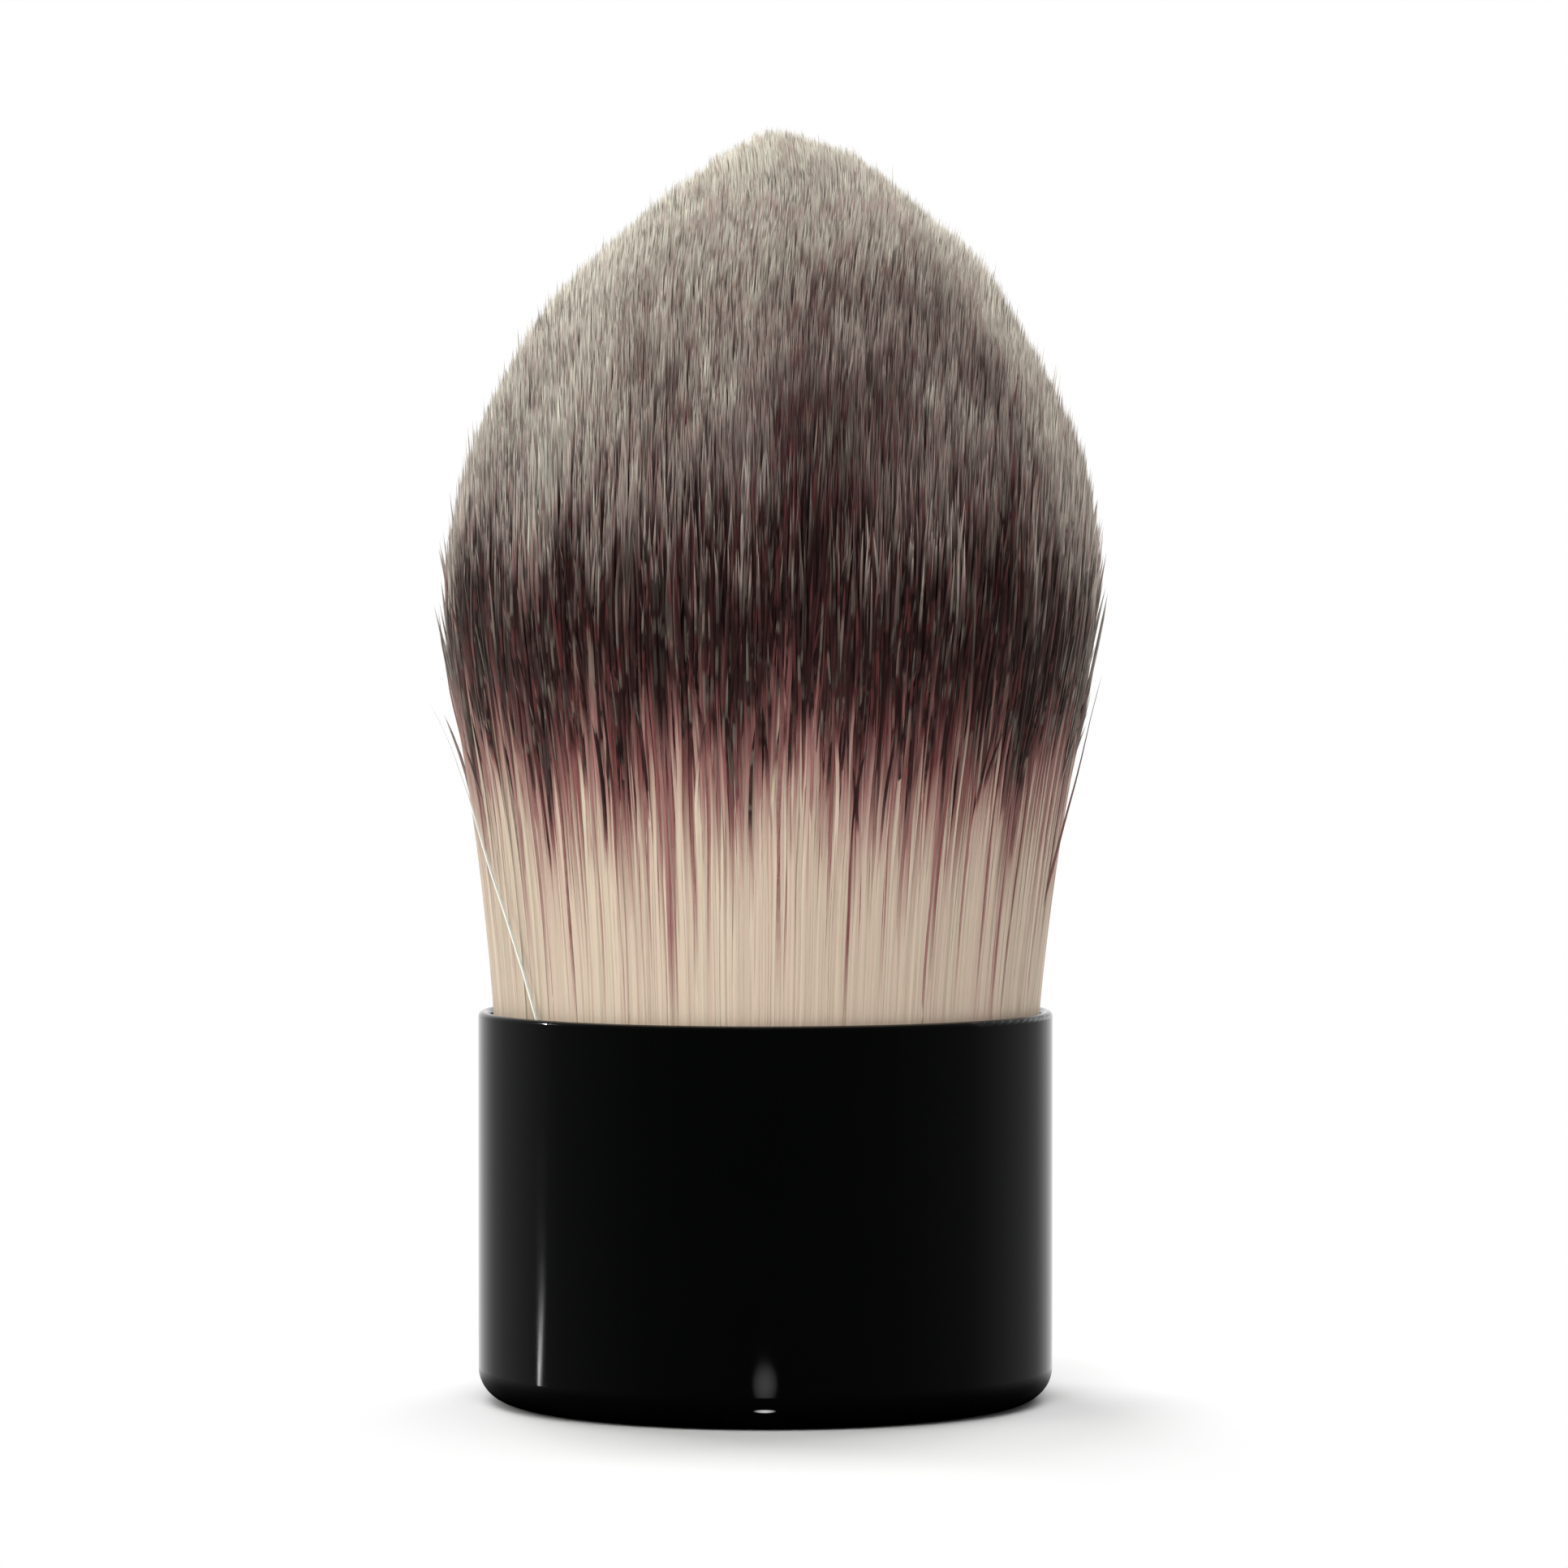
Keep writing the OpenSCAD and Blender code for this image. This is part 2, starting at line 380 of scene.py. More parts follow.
def bundle_r(z):
    """Radius of the bundle's outside at a height, without the dome."""
    return along_table(BUNDLE, z)


def dome_r(z):
    """Radius of the dome at a height."""
    return along_table(DOME, z)


def lean(z):
    """How far the head leans to +X at a height."""
    return along_table(LEAN, z)


def tip_height(share):
    """Height at which a filament at a share of the bundle's radius meets the dome."""
    low, high = np.full_like(share, BELLY_Z), np.full_like(share, TIP_Z)
    for _ in range(HALVINGS):
        middle = (low + high) / 2
        inside = share * bundle_r(middle) < dome_r(middle)
        low, high = np.where(inside, middle, low), np.where(inside, high, middle)
    return low


def bundle_normal(points):
    """Outward direction of the bundle's surface near some points."""
    x, y = points[:, 0] - lean(points[:, 2]), points[:, 1]
    r = np.maximum(np.hypot(x, y), 1e-6)
    rise = np.clip((points[:, 2] - BELLY_Z) / (TIP_Z - BELLY_Z), 0, 1) * NORMAL_RISE
    return np.stack([x / r * np.cos(rise), y / r * np.cos(rise), np.sin(rise)], -1)


def soft_noise(x, y, seed, size, z=0.0):
    """Smooth noise from -1 to 1 over a plane or a space, a sum of waves of about this size."""
    rng, rng_z = np.random.default_rng(seed), np.random.default_rng(seed + 100)
    total = np.zeros_like(x)
    for _ in range(WAVES):
        turn, phase = rng.uniform(0, 2 * np.pi, 2)
        k = 2 * np.pi / (size * rng.uniform(*WAVE_SPREAD))
        across = x * np.cos(turn) + y * np.sin(turn) + z * rng_z.uniform(-1, 1)
        total = total + np.sin(k * across + phase)
    return total / (WAVES / 2)


def mesh_object(name, points, quads, triangles, values, normals=None):
    """A smooth mesh from arrays in millimetres, with point values."""
    mesh = bpy.data.meshes.new(name)
    mesh.vertices.add(len(points))
    mesh.vertices.foreach_set("co", (points * MM).astype(np.float32).ravel())
    corners = np.concatenate([quads.ravel(), triangles.ravel()]).astype(np.int32)
    mesh.loops.add(len(corners))
    mesh.loops.foreach_set("vertex_index", corners)
    sizes = np.concatenate([np.full(len(quads), 4), np.full(len(triangles), 3)])
    starts = np.concatenate([[0], np.cumsum(sizes)[:-1]])
    mesh.polygons.add(len(sizes))
    mesh.polygons.foreach_set("loop_start", starts.astype(np.int32))
    mesh.polygons.foreach_set("use_smooth", np.ones(len(sizes), bool))
    mesh.update(calc_edges=True)
    for key, numbers in values.items():
        layer = mesh.attributes.new(key, "FLOAT", "POINT")
        layer.data.foreach_set("value", numbers.astype(np.float32))
    if normals is not None:
        mesh.normals_split_custom_set_from_vertices(normals)
    ob = bpy.data.objects.new(name, mesh)
    bpy.context.scene.collection.objects.link(ob)
    return ob, corners


def strand_mesh(name, centres, radii, along, tone, share, twist):
    """Three-sided tapered strands.

    centres is strands x levels x 3, from the root up, and the last level is the tip.
    """
    count, levels = radii.shape
    rings = levels - 1
    turns = twist[:, None, None] + np.arange(3)[None, None, :] * 2 * np.pi / 3
    offset = np.stack([np.cos(turns), np.sin(turns), np.zeros_like(turns)], -1)
    body = centres[:, :rings, None, :] + radii[:, :rings, None, None] * offset
    per = rings * 3 + 1
    points = np.concatenate([body.reshape(count, rings * 3, 3), centres[:, -1:, :]], 1)
    points = points.reshape(-1, 3)

    start = (np.arange(count) * per)[:, None]
    side = np.arange(3)[None, :]
    after = (side + 1) % 3
    low = start[:, None] + np.arange(rings - 1)[None, :, None] * 3
    quads = np.stack([low + side, low + after, low + 3 + after, low + 3 + side], -1).reshape(-1, 4)
    top = start + (rings - 1) * 3
    apex = np.repeat(start + rings * 3, 3, axis=1)
    tips = np.stack([top + side, top + after, apex], -1).reshape(-1, 3)
    feet = start + np.array([[2, 1, 0]])
    triangles = np.concatenate([tips, feet])

    along_points = np.concatenate([np.repeat(along[:, :rings], 3, axis=1), along[:, -1:]], 1).ravel()
    values = {"along": along_points, "tone": np.repeat(tone, per), "share": np.repeat(share, per)}
    own = np.broadcast_to(offset, body.shape).reshape(count, rings * 3, 3)
    upward = np.broadcast_to([[[0.0, 0.0, 1.0]]], (count, 1, 3))
    own = np.concatenate([own, upward], 1).reshape(-1, 3)
    normals = OWN_NORMAL * own + (1 - OWN_NORMAL) * bundle_normal(points)
    normals /= np.linalg.norm(normals, axis=1)[:, None]
    ob, corners = mesh_object(name, points, quads, triangles, values, normals)

    # The bake map has the tone across and the distance from the tip upwards
    across = np.tile(np.concatenate([np.tile([-MAP_ASIDE, 0.0, MAP_ASIDE], rings), [0.0]]), count)
    u = values["tone"] + across / TONES
    v = np.clip(along_points / LONGEST, MAP_EDGE, 1 - MAP_EDGE)
    layer = ob.data.uv_layers.new(name="OFBake")
    layer.uv.foreach_set("vector", np.stack([u, v], 1)[corners].astype(np.float32).ravel())
    return ob


def sunflower(count):
    """Points spread evenly over the bundle's section."""
    i = np.arange(count)
    r = BELLY_R * np.sqrt((i + 0.5) / count)
    return r * np.cos(i * GOLDEN_TURN), r * np.sin(i * GOLDEN_TURN)


def nearest_of(count, px, py):
    """Which of so many even points lies nearest to each tip."""
    tree = KDTree(count)
    for k, (x, y) in enumerate(zip(*sunflower(count))):
        tree.insert((x, y, 0), k)
    tree.balance()
    return np.array([tree.find((x, y, 0))[1] for x, y in zip(px, py)])


def clump_pull(px, py):
    """Each tip's tuft, and how far the tip is drawn towards the tuft's middle."""
    cx, cy = sunflower(CLUMPS)
    near = nearest_of(CLUMPS, px, py)
    return near, CLUMP_PULL * (cx[near] - px), CLUMP_PULL * (cy[near] - py)


def dyed_along(along, z, share, angle, px, py, clump, drop):
    """Distances from the tip, moved so that the colours start and end unevenly, as in the photo, with a
    painted backlight that pales both sides.
    """
    side_x, side_y = np.cos(angle), np.sin(angle)
    around = BELLY_R * side_x, BELLY_R * side_y
    dye = WIDE_DYE * soft_noise(*around, *WIDE_DYE_NOISE) * share
    dye += FINE_DYE * soft_noise(px, py, *FINE_DYE_NOISE) * share
    dye += CLUMP_DYE * np.random.default_rng(CLUMP_SEED).normal(0, 1, CLUMPS)[clump] * share
    tongues = sum(soft_noise(*around, *noise) for noise in TONGUE_NOISES)
    dye += TONGUE_DYE * tongues * share**TONGUE_POWER - OUTER_DYE * share**OUTER_POWER
    dye += DROP_DYE * np.minimum(drop, DROP_DEEP) + np.interp(share, BELT_SHARE, BELT_DYE)

    facing = np.clip(-FRONT_FACING * side_y, 0, 1)
    dye += np.interp(px, FRONT_X, FRONT_DYE) * np.interp(share, FRONT_SHARE, FRONT_PART) * facing
    dye += np.interp(px, RIGHT_X, RIGHT_DYE) * np.interp(share, RIGHT_SHARE, RIGHT_PART) * facing
    # Painted backlight: seen from the front, both sides get a longer pale end, as if light shone
    # through them
    painted_backlight = np.interp(-side_y, PAINTED_BACKLIGHT_FACING, PAINTED_BACKLIGHT) * np.interp(share, PAINTED_BACKLIGHT_SHARE, (0, 1))

    tuft = NARROW_TUFT_DYE * soft_noise(*around, *NARROW_TUFT_NOISE)
    tuft += WIDE_TUFT_DYE * soft_noise(*around, *WIDE_TUFT_NOISE)
    skin = share**SKIN_POWER
    lower = DROP_LOWER * drop + (tuft + np.interp(side_x, DYE_SIDE, DYE_LOWER)) * skin

    settled = np.clip(along / DYE_SETTLES, 0, 1)
    dyed = along + dye[:, None] * (1 - DYE_FADES * settled) + settled * lower[:, None]
    dyed -= painted_backlight[:, None] * (1 - settled)

    column = around[0][:, None], around[1][:, None]
    patch = soft_noise(*column, *WIDE_PATCH_NOISE, z / PATCH_TALL)
    patch += PATCH_NARROW * soft_noise(*column, *NARROW_PATCH_NOISE, z / PATCH_TALL)
    patch = np.clip(PATCH_LEVEL + PATCH_EDGE * patch, 0, 1)
    dyed *= 1 - patch * np.interp(along, PATCH_ALONG, PATCH_PART) * skin[:, None]
    return np.clip(dyed, 0, LONGEST)


def filament_paths(rng, share, angle, tip_z, length, levels, frizz, flare, drop):
    """Centre lines, radii and dyed distances from the tip for one set of filaments."""
    count = len(share)
    steps = np.linspace(0, 1, levels) ** LEVEL_POWER
    foot_z = np.maximum(tip_z - length, ROOT_Z)
    z = foot_z[:, None] + (tip_z - foot_z)[:, None] * steps[None, :]
    along = tip_z[:, None] - z
    up = np.clip((z - RIM_Z) / (TIP_Z - RIM_Z), 0, 1)
    near_tip = np.clip(1 - along / SWAY_LONG, 0, 1) ** 2
    packed = np.interp(z - RIM_Z, PACK_UP, PACK_PART) * (share[:, None] > FLARE_FROM)
    radius = (share[:, None] + (1 - share[:, None]) * packed) * bundle_r(z)
    cos, sin = np.cos(angle)[:, None], np.sin(angle)[:, None]
    x, y = radius * cos, radius * sin
    # px and py are views of the last level, so they follow the tips as x and y change in place
    px, py = x[:, -1], y[:, -1]

    sway = [SWAY * soft_noise(px, py, *noise) for noise in SWAY_NOISES]
    loose = rng.normal(0, 1, (2, count)) * frizz[None, :]
    free = (up + near_tip) / 2
    x += free * (sway[0] + loose[0])[:, None]
    y += free * (sway[1] + loose[1])[:, None]

    clump, pull_x, pull_y = clump_pull(px, py)
    x += near_tip * pull_x[:, None]
    y += near_tip * pull_y[:, None]

    end = np.clip(1 - along / FLARE_LONG, 0, 1) ** 2
    out, aside = flare[0][:, None] * end, flare[1][:, None] * end
    x += out * cos - aside * sin
    y += out * sin + aside * cos

    phase = rng.uniform(0, 2 * np.pi, count)[:, None]
    waver = WAVER * np.clip(up * WAVER_STARTS, 0, 1) * np.sin(2 * np.pi * z / WAVER_LONG + phase)
    x += waver * sin
    y -= waver * cos
    x += lean(z)

    taper = np.clip(along / TAPER, 0, 1) ** TAPER_POWER
    thick = FILAMENT_R * rng.uniform(*THICKNESS, count)[:, None]
    low = np.clip((BELLY_Z - z) / (BELLY_Z - RIM_Z), 0, 1)
    radii = thick * (TIP_SHARE + (1 - TIP_SHARE) * taper) * (1 + (ROOT_THICK - 1) * low)
    dyed = dyed_along(along, z, share, angle, px, py, clump, drop)
    return np.stack([x, y, z], -1), radii, dyed


def flared(rng, share):
    """Which filaments end low, how far down, and how far their ends stand outward and aside."""
    count = len(share)
    low = (share > FLARE_FROM) & (rng.random(count) < FLARE_PART)
    wild = low & (rng.random(count) < WILD_PART)
    drop = np.minimum(rng.exponential(FLARE_DROP, count), DROP_MOST)
    drop = np.where(low, np.where(wild, rng.uniform(0, WILD_DROP, count), drop), 0)
    out = rng.uniform(0, np.where(wild, WILD_MOST, FLARE_MOST))
    aside = rng.normal(0, np.where(wild, WILD_ASIDE, FLARE_ASIDE))
    return low, drop, np.where(low, (out, aside), 0)


def tones(rng, px, py, inner, outer, low):
    """Each filament's tone from 0 to 1, which most share with their wisp."""
    count = len(px)
    wisp = nearest_of(WISPS, px, py)
    wisp_share = np.sqrt((wisp + 0.5) / WISPS)
    place = (wisp_share - inner) / (outer - inner) + rng.normal(0, TONE_BLUR, WISPS)[wisp]
    alone = low | (rng.random(count) < LONE_PART)
    place = np.where(alone, rng.random(count), place)
    return (np.floor(np.clip(place, 0, NEARLY_ONE) * TONES) + 0.5) / TONES


def filament_group(name, node, inner, outer, length, levels, seed):
    """All filaments between two shares of the radius, in pieces small enough to keep whole."""
    rng = np.random.default_rng(seed)
    i = np.arange(FILAMENTS)
    share = np.sqrt((i + 0.5) / FILAMENTS)
    kept = (share >= inner) & (share < outer)
    share, angle = share[kept], (i * GOLDEN_TURN)[kept]
    count = len(share)
    angle = (angle + rng.normal(0, ANGLE_STRAY, count)) % (2 * np.pi)
    share = share * (1 + rng.normal(0, SHARE_STRAY, count))

    px, py = share * BELLY_R * np.cos(angle), share * BELLY_R * np.sin(angle)
    tip_z = tip_height(np.minimum(share, NEARLY_ONE))
    tip_z += TIP_WAVE * soft_noise(px, py, *TIP_NOISE) + rng.normal(0, TIP_UNEVEN, count)
    short = (rng.random(count) < SHORT_PART) & (share < FLARE_FROM)
    tip_z -= np.where(short, rng.uniform(*SHORT_DROP, count), 0)
    low, drop, flare = flared(rng, share)
    tip_z -= drop
    frizz = np.where(rng.random(count) < FRIZZ_WILD_PART, FRIZZ_WILD, FRIZZ)
    tone = tones(rng, px, py, inner, outer, low)
    twist = rng.uniform(0, 2 * np.pi, count)
    centres, radii, along = filament_paths(rng, share, angle, tip_z, length, levels, frizz, flare, drop)

    # The share is told by the tone, so that the colour depends on the bake map's two numbers alone
    coded = inner + (outer - inner) * tone
    per_strand = (levels - 2) * 6 + 4
    parts = math.ceil(count * per_strand / MOST_TRIANGLES)
    for k, chosen in enumerate(np.array_split(np.argsort(angle), parts)):
        part_name = name if parts == 1 else f"{name}_{k + 1}"
        shapes = centres[chosen], radii[chosen], along[chosen]
        ob = strand_mesh(part_name, *shapes, tone[chosen], coded[chosen], twist[chosen])
        ob.data.materials.append(materials["filament"])
        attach(ob, BODY)
        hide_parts(node)


def photo_point(px, py, depth):
    """Where a pixel of the photograph lies, in millimetres, at a given y."""
    away = CAMERA_FAR / MM + depth
    x = CAMERA_SIDE / MM + (px - PHOTO_SIZE / 2) * away / CAMERA_FOCUS
    drop = math.tan(math.radians(CAMERA_DOWN)) * away
    return x, depth, CAMERA_HIGH / MM - drop - (py - PHOTO_SIZE / 2) * away / CAMERA_FOCUS


def stray_hairs(name, strays, finish, seed):
    """Long hairs that stand off the bundle, along lines seen in the photograph."""
    rng = np.random.default_rng(seed)
    centres, radii, along = [], [], []
    for depths, dye, line in strays:
        line = np.array(line, float)
        at = np.concatenate([[0], np.cumsum(np.hypot(*np.diff(line, axis=0).T))])
        steps = np.linspace(0, at[-1], STRAY_LEVELS)
        px, py = np.interp(steps, at, line[:, 0]), np.interp(steps, at, line[:, 1])
        depth = np.linspace(*depths, STRAY_LEVELS)
        path = np.array([photo_point(*place) for place in zip(px, py, depth)])
        left = np.linspace(1, 0, STRAY_LEVELS) * np.linalg.norm(path[-1] - path[0])
        centres.append(path)
        radii.append(STRAY_R * np.clip(left / STRAY_TAPER, STRAY_THIN, 1))
        along.append(np.linspace(*dye, STRAY_LEVELS))
    count = len(strays)
    shapes = np.array(centres), np.array(radii), np.array(along)
    tone = (rng.integers(0, TONES, count) + 0.5) / TONES
    ob = strand_mesh(name, *shapes, tone, np.ones(count), rng.uniform(0, 2, count))
    ob.data.materials.append(materials[finish])
    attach(ob, BODY)
    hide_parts("bristle_outer_ring")


def lathe(name, profile, along_of, sides=96):
    """A closed solid of revolution from (r, z) points in millimetres, whose ends lie on the axis."""
    inner = profile[1:-1]
    turns = np.arange(sides) * 2 * np.pi / sides
    rings = np.array([[(r * np.cos(t), r * np.sin(t), z) for t in turns] for r, z in inner])
    points = np.vstack([rings.reshape(-1, 3), [(0, 0, profile[0][1])], [(0, 0, profile[-1][1])]])
    points[:, 0] += lean(points[:, 2])
    level = (np.arange(len(inner) - 1) * sides)[:, None]
    side = np.arange(sides)[None, :]
    after = (side + 1) % sides
    above = level + sides
    quads = np.stack([level + side, level + after, above + after, above + side], -1).reshape(-1, 4)
    foot, top = len(points) - 2, len(points) - 1
    last = (len(inner) - 1) * sides
    low = np.stack([after[0], side[0], np.full(sides, foot)], -1)
    high = np.stack([last + side[0], last + after[0], np.full(sides, top)], -1)
    values = {
        "along": along_of(points),
        "tone": np.full(len(points), MASS_TONE),
        "share": np.full(len(points), MASS_SHARE),
    }
    return mesh_object(name, points, quads, np.concatenate([low, high]), values)[0]


def inner_mass():
    """The dense middle of the bundle, just under the filaments that show."""
    low = np.linspace(ROOT_Z, BELLY_Z, MASS_LEVELS[0])
    high = np.linspace(BELLY_Z, TIP_Z - MASS_DEPTH, MASS_LEVELS[1])[1:]
    z = np.concatenate([low, high])
    under = bundle_r(z) - np.interp(z, MASS_Z, MASS_UNDER)
    r = np.minimum(under, dome_r(z + MASS_DEPTH) * MASS_CLOSE)
    profile = [(0, ROOT_Z), *zip(r[:-1], z[:-1]), (0, z[-1])]

    def along_of(points):
        share = np.hypot(points[:, 0] - lean(points[:, 2]), points[:, 1]) / bundle_r(points[:, 2])
        return tip_height(np.clip(share, 0, NEARLY_ONE)) - points[:, 2]

    ob = lathe("bristle_mass", profile, along_of)
    ob.data.materials.append(materials["filament"])
    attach(ob, BODY)
    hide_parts("bristle_core")


class Nodes:
    """A short way to build the nodes of a material or of the world."""

    def __init__(self, owner):
        owner.use_nodes = True
        self.owner = owner
        self.tree = owner.node_tree
        self.shader = self.tree.nodes.get("Principled BSDF")

    def add(self, kind, **settings):
        node = self.tree.nodes.new(kind)
        for key, value in settings.items():
            setattr(node, key, value)
        return node

    def join(self, source, target):
        self.tree.links.new(source, target)

    def maths(self, operation, a, b=None, c=None, clamp=False):
        node = self.add("ShaderNodeMath", operation=operation, use_clamp=clamp)
        for slot, value in zip(node.inputs, (a, b, c)):
            if value is None:
                continue
            if isinstance(value, (int, float)):
                slot.default_value = value
            else:
                self.join(value, slot)
        return node.outputs[0]

    def mix(self, share, a, b, blend="MIX"):
        node = self.add("ShaderNodeMix", data_type="RGBA", blend_type=blend)
        for slot, value in ((node.inputs[0], share), (node.inputs[6], a), (node.inputs[7], b)):
            if isinstance(value, (int, float)):
                slot.default_value = value
            elif isinstance(value, tuple):
                slot.default_value = (*value, 1)
            else:
                self.join(value, slot)
        return node.outputs[2]

    def spread(self, value, low, high):
        """Carries 0 to 1 over to low to high."""
        return self.maths("MULTIPLY_ADD", value, high - low, low)

    def rise(self, value, start, length):
        """From 0 at the start to 1 a length later."""
        return self.maths("DIVIDE", self.maths("SUBTRACT", value, start), length, clamp=True)

    def levels(self, value, stops):
        """A brightness that follows places from 0 to 1."""
        node = self.add("ShaderNodeValToRGB")
        elements = node.color_ramp.elements
        elements.remove(elements[-1])
        elements[0].position = stops[0][0]
        elements[0].color = (*[stops[0][1]] * 3, 1)
        for place, level in stops[1:]:
            elements.new(place).color = (level, level, level, 1)
        self.join(value, node.inputs[0])
        return node.outputs[0]

    def attribute(self, name):
        return self.add("ShaderNodeAttribute", attribute_name=name).outputs["Fac"]

    def random(self, value, seed):
        """A random number for each value, another one for each seed."""
        noise = self.add("ShaderNodeTexWhiteNoise", noise_dimensions="1D")
        self.join(self.maths("MULTIPLY_ADD", value, RANDOM_STEP, seed), noise.inputs["W"])
        return noise.outputs["Value"]

    def hue(self, tone, hues):
        """A colour between two, the same for all filaments of a tone."""
        seed, one, other = hues
        return self.mix(self.random(tone, seed), srgb(one), srgb(other))

    def flecks(self, tone, along, seed, length, low, high):
        """Stretches from 0 to 1 along each strand, this long at the tip and longer below."""
        place = self.add("ShaderNodeCombineXYZ")
        self.join(self.maths("MULTIPLY_ADD", tone, TONES * FLECK_STEP, seed), place.inputs[0])
        grown = self.maths("MULTIPLY_ADD", along, 1 / FLECK_GROWS, 1.0)
        stretched = self.maths("LOGARITHM", grown, math.e)
        self.join(self.maths("MULTIPLY", stretched, FLECK_GROWS / length), place.inputs[1])
        noise = self.add("ShaderNodeTexNoise", noise_dimensions="2D")
        noise.inputs["Scale"].default_value = 1.0
        noise.inputs["Detail"].default_value = 1.0
        self.join(place.outputs[0], noise.inputs["Vector"])
        return self.rise(noise.outputs["Fac"], low, high - low)

    def noise(self, scale, detail=2.0, stretch=None):
        noise = self.add("ShaderNodeTexNoise")
        noise.inputs["Scale"].default_value = scale
        noise.inputs["Detail"].default_value = detail
        place = self.add("ShaderNodeTexCoord").outputs["Object"]
        if stretch:
            mapping = self.add("ShaderNodeMapping")
            mapping.inputs["Scale"].default_value = stretch
            self.join(place, mapping.inputs["Vector"])
            place = mapping.outputs[0]
        self.join(place, noise.inputs["Vector"])
        return noise.outputs["Fac"]

    def smooth_length(self, vector, start, end):
        """From 0 to 1 as a vector's length goes from start to end."""
        length = self.add("ShaderNodeVectorMath", operation="LENGTH")
        self.join(vector, length.inputs[0])
        smooth = self.add("ShaderNodeMapRange", interpolation_type="SMOOTHSTEP")
        self.join(length.outputs["Value"], smooth.inputs["Value"])
        smooth.inputs["From Min"].default_value = start
        smooth.inputs["From Max"].default_value = end
        return smooth.outputs["Result"]

    def bump(self, height, strength, distance):
        node = self.add("ShaderNodeBump")
        node.inputs["Strength"].default_value = strength
        node.inputs["Distance"].default_value = distance
        self.join(height, node.inputs["Height"])
        self.join(node.outputs[0], self.shader.inputs["Normal"])


def srgb(colour):
    """A linear colour from the eight-bit numbers that a picture shows."""
    return tuple(((c / 255 + 0.055) / 1.055) ** 2.4 if c > 10 else c / 255 / 12.92 for c in colour)


def pale_to_dark(n, along, tone, share):
    """The upper part of a filament, whose pale end is shorter near the bundle's outside."""
    outside = n.maths("POWER", share, OUTSIDE_POWER)
    longest = n.maths("MULTIPLY_ADD", outside, PALE_END_OUT - PALE_END_IN, PALE_END_IN)
    middle = n.maths("POWER", n.maths("SUBTRACT", 1.0, share), MIDDLE_POWER)
    longest = n.maths("MULTIPLY_ADD", middle, PALE_END_IN, longest)
    varied = n.spread(n.random(tone, PALE_END_SEED), *PALE_END_SPREAD)
    tip = n.maths("DIVIDE", along, n.maths("MULTIPLY", longest, varied))
    duller_pale = n.maths("POWER", share, DULLER_PALE_POWER)
    pale = n.mix(duller_pale, n.hue(tone, PALE_HUES), n.hue(tone, DULLER_PALE_HUES))
    pale = n.mix(outside, pale, n.hue(tone, DUSK_HUES))
    pale = n.mix(n.rise(tip, 0.0, MID_FULL), pale, n.hue(tone, MID_HUES))
    return n.mix(n.rise(tip, DARK_FROM, DARK_FULL - DARK_FROM), pale, n.hue(tone, DARK_HUES))


def flecked(n, colour, along, tone):
    """Flecks of maroon and greenish grey, lighter and darker stretches, and sparse dark strokes."""
    red = n.maths("MULTIPLY", n.flecks(tone, along, *RED_NOISE), FLECK_PART)
    grey = n.maths("MULTIPLY", n.flecks(tone, along, *GREY_NOISE), FLECK_PART)
    colour = n.mix(red, colour, srgb(RED_FLECK))
    colour = n.mix(grey, colour, srgb(GREY_FLECK))
    light = n.spread(n.flecks(tone, along, *LIGHT_NOISE), *LIGHT_SPREAD)
    colour = n.mix(1.0, colour, light, "MULTIPLY")
    stroke = n.maths("MULTIPLY", n.flecks(tone, along, *STROKE_NOISE), STROKE_PART)
    return n.mix(stroke, colour, n.hue(tone, STROKE_HUES))


def dark_to_cream(n, colour, along, tone):
    """The lower part of a filament, with maroon between, and a few long maroon streaks."""
    dark_end = n.spread(n.random(tone, DARK_END_SEED), *DARK_END)
    rare = n.maths("POWER", n.random(tone, STREAK_SEED), STREAK_POWER)
    farther = n.maths("MULTIPLY_ADD", rare, STREAK_FARTHER, dark_end)
    to_maroon = n.rise(along, n.maths("SUBTRACT", dark_end, MAROON_SOONER), MAROON_LONG)
    to_cream = n.rise(along, n.maths("ADD", farther, CREAM_LATER), CREAM_LONG)
    colour = n.mix(to_maroon, colour, n.hue(tone, MAROON_HUES))
    return n.mix(to_cream, colour, n.hue(tone, CREAM_HUES))


def filament_material():
    """Dyed synthetic filament, pale at the tip, dark red-brown below it and cream at the root."""
    n = Nodes(bpy.data.materials.new("filament"))
    along, tone, share = n.attribute("along"), n.attribute("tone"), n.attribute("share")
    colour = pale_to_dark(n, along, tone, share)
    colour = flecked(n, colour, along, tone)
    colour = dark_to_cream(n, colour, along, tone)
    n.join(colour, n.shader.inputs["Base Color"])
    rough = n.spread(n.random(tone, ROUGH_SEED), *FILAMENT_ROUGH)
    n.join(rough, n.shader.inputs["Roughness"])
    n.shader.inputs["Specular IOR Level"].default_value = 0.25
    n.shader.inputs["Sheen Weight"].default_value = 0.25
    n.shader.inputs["Sheen Tint"].default_value = (1.0, 0.9, 0.78, 1)
    n.shader.inputs["Sheen Roughness"].default_value = 0.4
    return n.owner


def loose_material():
    """The one bright hair that stands off the bundle: pale, with its highlight painted into its
    near-white colour.
    """
    n = Nodes(bpy.data.materials.new("loose hair with painted highlight"))
    colour = n.mix(n.noise(300), srgb(LOOSE_HIGHLIT), srgb(LOOSE_HIGHLIT_DIM))
    n.join(colour, n.shader.inputs["Base Color"])
    n.shader.inputs["Roughness"].default_value = 0.4
    return n.owner


